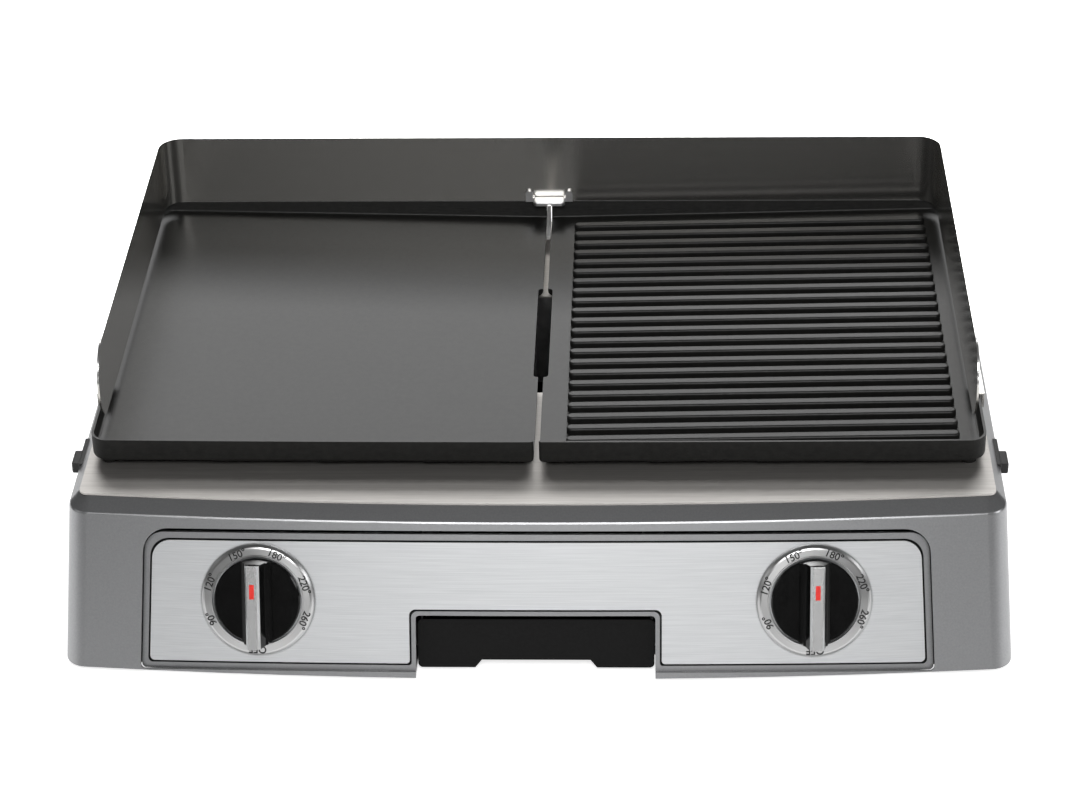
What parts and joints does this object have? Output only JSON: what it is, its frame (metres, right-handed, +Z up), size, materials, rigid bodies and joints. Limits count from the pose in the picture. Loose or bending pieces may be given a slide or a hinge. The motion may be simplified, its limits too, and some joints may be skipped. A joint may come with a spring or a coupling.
{
  "type": "electric griddle",
  "caption": "Table-top electric griddle with a flat plate beside a ribbed plate, a lift-off splash guard, dial controls, side release buttons and a pull-out drip tray.",
  "frame": {"origin": "on the floor under the middle of the griddle's outline, where its rubber feet rest", "axes": "+Z up, +X to the right seen from the front, +Y to the back; the dials and the drip tray face -Y"},
  "size_m": [0.587, 0.4257, 0.1739],
  "materials": {
    "silver_paint": "satin silver-grey metallic paint over a heat-proof moulding",
    "brushed_panel": "horizontally brushed stainless steel",
    "deck_steel": "finely brushed warm grey steel",
    "nonstick_cast": "satin black non-stick coating over cast aluminium",
    "guard_coat": "dark grey satin coating",
    "clip_steel": "bright stainless steel",
    "dial_chrome": "spun chrome",
    "knob_black": "glossy black plastic",
    "bar_chrome": "satin chrome",
    "mark_red": "red inlay",
    "inner_plastic": "heat-proof moulding",
    "inner_steel": "plain zinc-plated steel",
    "button_black": "textured black plastic",
    "tray_black": "fine textured black plastic",
    "element_steel": "heat-tinted steel sheath",
    "pan_aluminium": "pressed aluminised sheet",
    "base_steel": "dark grey coated sheet",
    "foot_rubber": "black rubber",
    "wire_sleeve": "silicone sleeving",
    "gland_black": "black nylon"
  },
  "bodies": {
    "griddle_body": {"housing_shell": "silver_paint", "control_panel": "brushed_panel", "deck_plate": "deck_steel", "drip_chute": "pan_aluminium", "base_pan": "base_steel", "feet": "foot_rubber", "base_screws": "inner_steel", "terminal_block": "inner_plastic", "cord_gland": "gland_black", "dial_ring_left": "dial_chrome", "thermostat_left": "inner_plastic", "shaft_nut_left": "inner_steel", "button_escutcheon_left": "button_black", "button_spring_left": "inner_steel", "tray_rail_left": "inner_steel", "heating_element_left": "element_steel", "reflector_pan_left": "pan_aluminium", "element_bracket_left": "inner_steel", "wires_left": "wire_sleeve", "dial_ring_right": "dial_chrome", "thermostat_right": "inner_plastic", "shaft_nut_right": "inner_steel", "button_escutcheon_right": "button_black", "button_spring_right": "inner_steel", "tray_rail_right": "inner_steel", "heating_element_right": "element_steel", "reflector_pan_right": "pan_aluminium", "element_bracket_right": "inner_steel", "wires_right": "wire_sleeve"},
    "flat_plate": {"flat_plate": "nonstick_cast"},
    "ribbed_plate": {"ribbed_plate": "nonstick_cast"},
    "splash_guard": {"splash_guard": "guard_coat", "plate_clip": "clip_steel"},
    "drip_tray": {"drip_tray": "tray_black"},
    "knob_left": {"knob_left": "knob_black", "knob_bar_left": "bar_chrome", "knob_mark_left": "mark_red", "thermostat_shaft_left": "inner_steel"},
    "button_left": {"release_button_left": "button_black", "latch_left": "inner_steel"},
    "knob_right": {"knob_right": "knob_black", "knob_bar_right": "bar_chrome", "knob_mark_right": "mark_red", "thermostat_shaft_right": "inner_steel"},
    "button_right": {"release_button_right": "button_black", "latch_right": "inner_steel"}
  },
  "joints": [
    {"name": "flat_plate_lift", "type": "slide", "parent": "griddle_body", "child": "flat_plate", "axis": [0, 0, 1], "range_m": [0, 0.09]},
    {"name": "ribbed_plate_lift", "type": "slide", "parent": "griddle_body", "child": "ribbed_plate", "axis": [0, 0, 1], "range_m": [0, 0.09]},
    {"name": "guard_lift", "type": "slide", "parent": "flat_plate", "child": "splash_guard", "axis": [0, 0, 1], "range_m": [0, 0.12]},
    {"name": "drip_tray_slide", "type": "slide", "parent": "griddle_body", "child": "drip_tray", "axis": [0, -1, 0], "range_m": [0, 0.22]},
    {"name": "knob_left_turn", "type": "hinge", "parent": "griddle_body", "child": "knob_left", "pos_m": [-0.1705, -0.18492, 0.04888], "axis": [-0.0464, -0.9326, 0.358], "range_deg": [-112, 180]},
    {"name": "knob_right_turn", "type": "hinge", "parent": "griddle_body", "child": "knob_right", "pos_m": [0.1705, -0.18492, 0.04888], "axis": [0.0464, -0.9326, 0.358], "range_deg": [-112, 180]},
    {"name": "button_left_press", "type": "slide", "parent": "griddle_body", "child": "button_left", "axis": [1, 0, 0], "range_m": [0, 0.0035], "stiffness_N_per_m": 400, "springref_m": -0.002, "deforming": ["button_spring_left"]},
    {"name": "button_right_press", "type": "slide", "parent": "griddle_body", "child": "button_right", "axis": [-1, 0, 0], "range_m": [0, 0.0035], "stiffness_N_per_m": 400, "springref_m": -0.002, "deforming": ["button_spring_right"]}
  ],
  "couplings": [
    {"joint": "ribbed_plate_lift", "follows": "flat_plate_lift", "ratio": 1}
  ]
}
